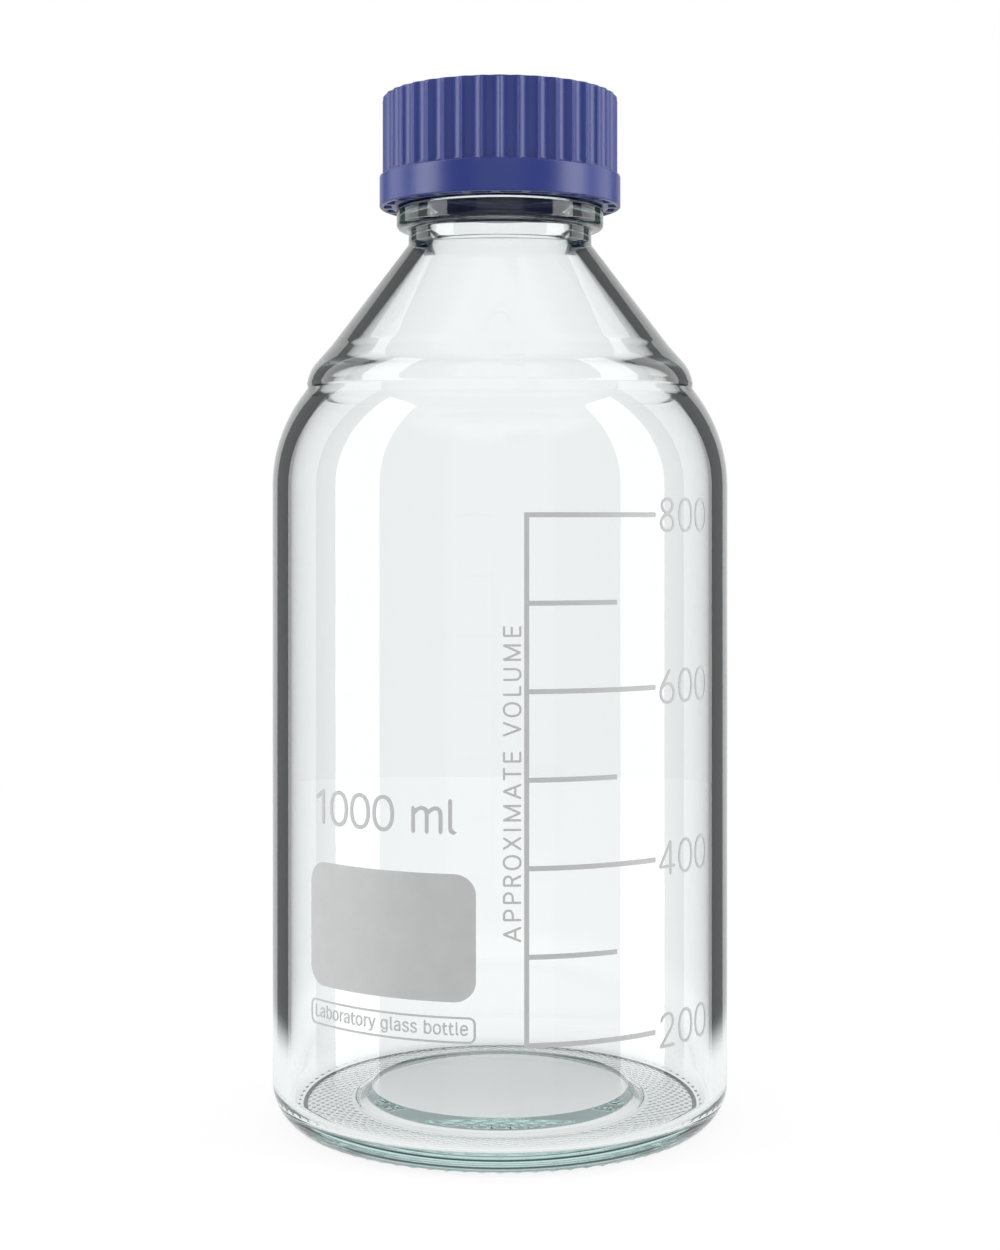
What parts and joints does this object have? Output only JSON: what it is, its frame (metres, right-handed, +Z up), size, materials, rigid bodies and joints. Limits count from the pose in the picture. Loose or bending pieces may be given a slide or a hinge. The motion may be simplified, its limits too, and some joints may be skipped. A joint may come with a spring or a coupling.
{
  "type": "reagent bottle",
  "caption": "Clear glass laboratory bottle with a sloping shoulder, printed volume scale and writing panel, 45 mm screw finish and a blue fluted screw cap that unscrews",
  "frame": {"origin": "on the standing plane, on the bottle's axis", "axes": "+Z up along the bottle's axis, -Y is the front that carries the print, +X to the right seen from the front"},
  "size_m": [0.101, 0.1011, 0.2257],
  "materials": {
    "clear_glass": "clear fire-polished glass, faint green tint in the thick base",
    "blue_plastic": "satin moulded plastic, solid blue",
    "white_facing": "smooth slippery white film",
    "seal_rubber": "soft translucent white rubber",
    "fired_print": "fired light grey enamel, satin"
  },
  "bodies": {
    "bottle": {"glass_bottle": "clear_glass", "pouring_ring": "blue_plastic", "writing_panel": "fired_print", "title_frame": "fired_print", "title_print": "fired_print", "scale_ladder": "fired_print", "scale_numerals": "fired_print", "capacity_mark": "fired_print", "scale_legend": "fired_print"},
    "seal": {"seal_pad": "seal_rubber", "seal_facing": "white_facing"},
    "cap": {"screw_cap": "blue_plastic"}
  },
  "joints": [
    {"name": "seal_lift", "type": "slide", "parent": "bottle", "child": "seal", "axis": [0, 0, 1], "range_m": [0, 0.0321]},
    {"name": "cap_turn", "type": "hinge", "parent": "seal", "child": "cap", "pos_m": [0, 0, 0.2134], "axis": [0, 0, 1], "range_deg": [0, 2880]}
  ],
  "couplings": [
    {"joint": "seal_lift", "follows": "cap_turn", "m_per_rad": 0.00063662}
  ]
}
